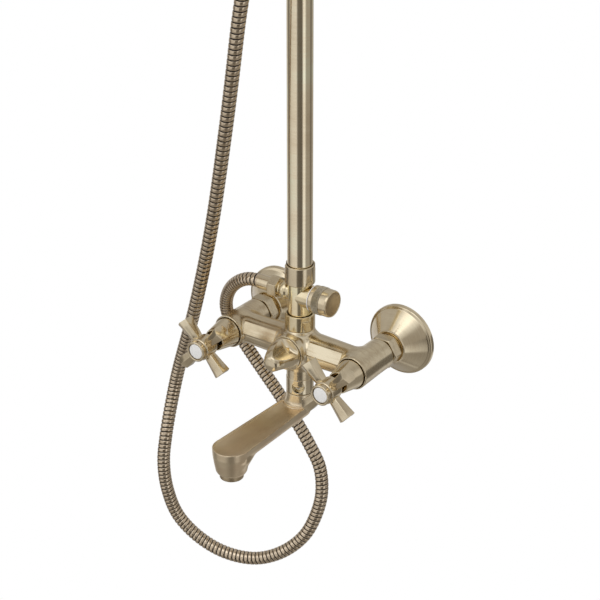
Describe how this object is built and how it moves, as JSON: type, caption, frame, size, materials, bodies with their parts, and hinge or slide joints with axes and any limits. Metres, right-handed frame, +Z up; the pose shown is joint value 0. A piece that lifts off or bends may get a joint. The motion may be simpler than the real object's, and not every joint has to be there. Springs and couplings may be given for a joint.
{
  "type": "rainfall shower column",
  "caption": "Wall shower column: cross-handle bath mixer with swinging spout, knurled diverter, riser pipe, hand shower on a metal hose, gooseneck arm and round rain head.",
  "frame": {"origin": "in the wall plane, midway between the two inlets, at the height of the inlet axes", "axes": "+X to the right seen from the room, +Y into the wall, +Z up; the column stands on the -Y side of the wall"},
  "size_m": [0.2686, 0.5715, 1.3847],
  "materials": {
    "aged_brass": "brushed aged brass, light lengthwise brushing, satin",
    "bare_brass": "bare machined brass, inside only",
    "hose_brass": "ridged interlocked metal hose, satin brass",
    "white_index": "glossy white, bare",
    "white_nylon": "matte white",
    "spray_face": "satin brass plate with dark soft nozzles",
    "rubber": "black rubber",
    "steel": "plain stainless steel"
  },
  "bodies": {
    "column": {"wall_unions": "bare_brass", "hot_flange": "aged_brass", "cold_flange": "aged_brass", "union_nuts": "aged_brass", "inlet_washers": "rubber", "inlet_tails": "bare_brass", "mixer_body": "aged_brass", "hot_headwork": "bare_brass", "cold_headwork": "bare_brass", "hot_bonnet": "aged_brass", "cold_bonnet": "aged_brass", "selector_cartridge": "bare_brass", "spout_collar": "aged_brass", "spout_screw": "steel", "spout_o_rings": "rubber", "ring_nut": "aged_brass", "tee_washer": "rubber", "diverter_tee": "aged_brass", "diverter_cartridge": "bare_brass", "diverter_washer": "white_nylon", "riser_nut": "aged_brass", "riser_seal": "rubber", "riser_pipe": "aged_brass", "hose_nut": "aged_brass", "hose_washer": "rubber", "hose_sleeve": "aged_brass", "shower_hose": "hose_brass", "holder_clamp": "aged_brass", "holder_pin": "steel", "bracket": "aged_brass", "bracket_screws": "steel", "arm_nut": "aged_brass", "shower_arm": "aged_brass", "ball_stud": "aged_brass"},
    "hot_valve": {"hot_spindle": "bare_brass", "hot_handle": "aged_brass", "hot_bezel": "aged_brass", "hot_index": "white_index", "hot_handle_screw": "steel"},
    "cold_valve": {"cold_spindle": "bare_brass", "cold_handle": "aged_brass", "cold_bezel": "aged_brass", "cold_index": "white_index", "cold_handle_screw": "steel"},
    "selector": {"selector_spindle": "bare_brass", "selector_knob": "aged_brass"},
    "bath_spout": {"spout": "aged_brass", "aerator": "aged_brass"},
    "diverter": {"diverter_spindle": "bare_brass", "diverter_knob": "aged_brass"},
    "hand_shower": {"cradle": "aged_brass", "hose_cone": "aged_brass", "handset_body": "aged_brass", "handset_face": "spray_face"},
    "head_seat": {"ball_seat": "white_nylon"},
    "shower_head": {"rain_head": "aged_brass", "rain_collar": "aged_brass", "rain_face": "spray_face"}
  },
  "joints": [
    {"name": "hot_turn", "type": "hinge", "parent": "column", "child": "hot_valve", "pos_m": [-0.075, -0.1305, 0], "axis": [0, -1, 0], "range_deg": [0, 90]},
    {"name": "cold_turn", "type": "hinge", "parent": "column", "child": "cold_valve", "pos_m": [0.075, -0.1305, 0], "axis": [0, -1, 0], "range_deg": [-90, 0]},
    {"name": "selector_turn", "type": "hinge", "parent": "column", "child": "selector", "pos_m": [0, -0.1, 0], "axis": [0, -1, 0], "range_deg": [0, 90]},
    {"name": "spout_swing", "type": "hinge", "parent": "column", "child": "bath_spout", "pos_m": [0, -0.0715, -0.05], "axis": [0, 0, 1], "range_deg": [-75, 75]},
    {"name": "diverter_turn", "type": "hinge", "parent": "column", "child": "diverter", "pos_m": [0.028, -0.0715, 0.0565], "axis": [1, 0, 0], "range_deg": [0, 180]},
    {"name": "holder_tilt", "type": "hinge", "parent": "column", "child": "hand_shower", "pos_m": [0, -0.099, 0.669], "axis": [1, 0, 0], "range_deg": [-12, 25], "deforming": ["shower_hose"]},
    {"name": "head_tilt_fore", "type": "hinge", "parent": "column", "child": "head_seat", "pos_m": [0, -0.4415, 0.994], "axis": [1, 0, 0], "range_deg": [-15, 15]},
    {"name": "head_tilt_side", "type": "hinge", "parent": "head_seat", "child": "shower_head", "pos_m": [0, -0.4415, 0.994], "axis": [0, 1, 0], "range_deg": [-15, 15]}
  ]
}
